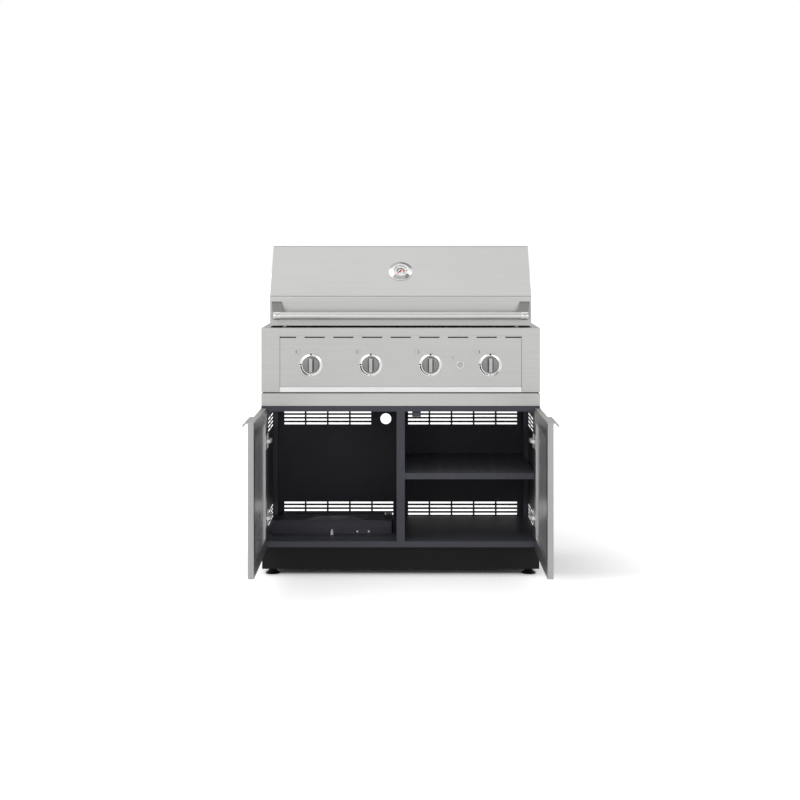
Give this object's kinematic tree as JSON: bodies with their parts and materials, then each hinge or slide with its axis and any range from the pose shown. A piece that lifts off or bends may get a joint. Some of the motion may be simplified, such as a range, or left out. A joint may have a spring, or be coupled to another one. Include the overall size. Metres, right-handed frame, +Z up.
{
  "type": "outdoor kitchen grill island",
  "caption": "Freestanding outdoor kitchen cabinet with double doors, bottle tray and shelf, carrying a built-in gas grill with a hinged hood",
  "frame": {"origin": "centre of the bounding box at floor level, with both doors open at a right angle", "axes": "+X to the right as seen from the front, +Y to the back, +Z up"},
  "size_m": [1.053, 1.059, 1.2081],
  "materials": {
    "slate_paint": "fine textured slate-grey powder coat",
    "black_paint": "satin black powder coat",
    "stainless": "stainless steel with a horizontal brushed grain",
    "stainless_plain": "plain mill-finish stainless steel",
    "polished": "polished stainless steel",
    "knob_satin": "satin cast metal",
    "black_rubber": "moulded black rubber",
    "zinc_plate": "bright zinc plate",
    "cast_iron": "matt enamelled cast iron",
    "brass": "cast brass",
    "gauge_glass": "clear flat glass",
    "needle_red": "red enamel",
    "button_white": "glossy light plastic",
    "lamp_cover": "frosted lamp cover"
  },
  "bodies": {
    "cabinet": {"side_panel_left": "slate_paint", "side_panel_right": "slate_paint", "back_panel": "slate_paint", "floor_panel": "slate_paint", "rear_corner_posts": "slate_paint", "centre_divider": "slate_paint", "top_rails": "slate_paint", "plinth_frame": "black_paint", "levelling_feet": "black_rubber", "adjustable_shelf": "slate_paint", "shelf_clips": "zinc_plate", "door_catch": "slate_paint", "hinge_arms": "zinc_plate", "tray_slide_rails": "zinc_plate", "base_fascia": "stainless", "grill_housing": "stainless", "housing_back": "stainless", "control_panel": "stainless", "panel_bezels": "polished", "gas_manifold": "zinc_plate", "gas_valves": "brass", "firebox": "stainless_plain", "firebox_ledges": "stainless_plain", "burners": "stainless_plain", "flame_tamers": "stainless_plain", "cooking_grates": "cast_iron", "warming_rack": "stainless_plain", "grease_tray_rails": "stainless_plain", "lid_brackets": "stainless_plain", "lid_bumpers": "black_rubber"},
    "left_door": {"door_left_skin": "stainless", "door_left_liner": "slate_paint", "door_left_pull": "stainless", "door_left_hinge_cups": "zinc_plate"},
    "right_door": {"door_right_skin": "stainless", "door_right_liner": "slate_paint", "door_right_pull": "stainless", "door_right_hinge_cups": "zinc_plate"},
    "bottle_tray": {"tank_tray": "slate_paint", "tray_slide_bars": "zinc_plate", "tray_thumb_screw": "zinc_plate"},
    "drip_tray": {"grease_tray": "stainless"},
    "light_switch": {"light_button": "button_white"},
    "lid": {"lid_shell": "stainless", "lid_liner": "stainless_plain", "lid_lamps": "lamp_cover", "lid_pins": "stainless_plain", "handle_tube": "stainless", "handle_brackets": "polished", "thermometer_case": "polished", "thermometer_glass": "gauge_glass"},
    "gauge_needle": {"thermometer_needle": "needle_red"},
    "spindle_1": {"valve_spindle_1": "brass"},
    "knob_1": {"burner_knob_1": "knob_satin"},
    "spindle_2": {"valve_spindle_2": "brass"},
    "knob_2": {"burner_knob_2": "knob_satin"},
    "spindle_3": {"valve_spindle_3": "brass"},
    "knob_3": {"burner_knob_3": "knob_satin"},
    "spindle_4": {"valve_spindle_4": "brass"},
    "knob_4": {"burner_knob_4": "knob_satin"}
  },
  "joints": [
    {"name": "left_door_hinge", "type": "hinge", "parent": "cabinet", "child": "left_door", "pos_m": [-0.49555, -0.03595, 0.3565], "axis": [0, 0, -1], "range_deg": [-90, 10]},
    {"name": "right_door_hinge", "type": "hinge", "parent": "cabinet", "child": "right_door", "pos_m": [0.49555, -0.03595, 0.3565], "axis": [0, 0, 1], "range_deg": [-90, 10]},
    {"name": "lid_hinge", "type": "hinge", "parent": "cabinet", "child": "lid", "pos_m": [0, 0.4975, 0.95], "axis": [-1, 0, 0], "range_deg": [0, 80]},
    {"name": "bottle_tray_slide", "type": "slide", "parent": "cabinet", "child": "bottle_tray", "axis": [0, -1, 0], "range_m": [0, 0.3]},
    {"name": "drip_tray_slide", "type": "slide", "parent": "cabinet", "child": "drip_tray", "axis": [0, -1, 0], "range_m": [0, 0.35]},
    {"name": "light_button_push", "type": "slide", "parent": "cabinet", "child": "light_switch", "axis": [0, 1, 0], "range_m": [0, 0.0025], "stiffness_N_per_m": 800, "springref_m": -0.001},
    {"name": "gauge_needle_turn", "type": "hinge", "parent": "lid", "child": "gauge_needle", "pos_m": [0, 0.12064, 1.11421], "axis": [0, 0.738, -0.6748], "range_deg": [0, 270]},
    {"name": "knob_1_turn", "type": "hinge", "parent": "cabinet", "child": "spindle_1", "pos_m": [-0.32655, -0.0225, 0.776], "axis": [0, -1, 0], "range_deg": [0, 180]},
    {"name": "knob_1_push", "type": "slide", "parent": "spindle_1", "child": "knob_1", "axis": [0, 1, 0], "range_m": [0, 0.003], "stiffness_N_per_m": 1500, "springref_m": -0.002},
    {"name": "knob_2_turn", "type": "hinge", "parent": "cabinet", "child": "spindle_2", "pos_m": [-0.10885, -0.0225, 0.776], "axis": [0, -1, 0], "range_deg": [0, 180]},
    {"name": "knob_2_push", "type": "slide", "parent": "spindle_2", "child": "knob_2", "axis": [0, 1, 0], "range_m": [0, 0.003], "stiffness_N_per_m": 1500, "springref_m": -0.002},
    {"name": "knob_3_turn", "type": "hinge", "parent": "cabinet", "child": "spindle_3", "pos_m": [0.10885, -0.0225, 0.776], "axis": [0, -1, 0], "range_deg": [0, 180]},
    {"name": "knob_3_push", "type": "slide", "parent": "spindle_3", "child": "knob_3", "axis": [0, 1, 0], "range_m": [0, 0.003], "stiffness_N_per_m": 1500, "springref_m": -0.002},
    {"name": "knob_4_turn", "type": "hinge", "parent": "cabinet", "child": "spindle_4", "pos_m": [0.32655, -0.0225, 0.776], "axis": [0, -1, 0], "range_deg": [0, 180]},
    {"name": "knob_4_push", "type": "slide", "parent": "spindle_4", "child": "knob_4", "axis": [0, 1, 0], "range_m": [0, 0.003], "stiffness_N_per_m": 1500, "springref_m": -0.002}
  ]
}
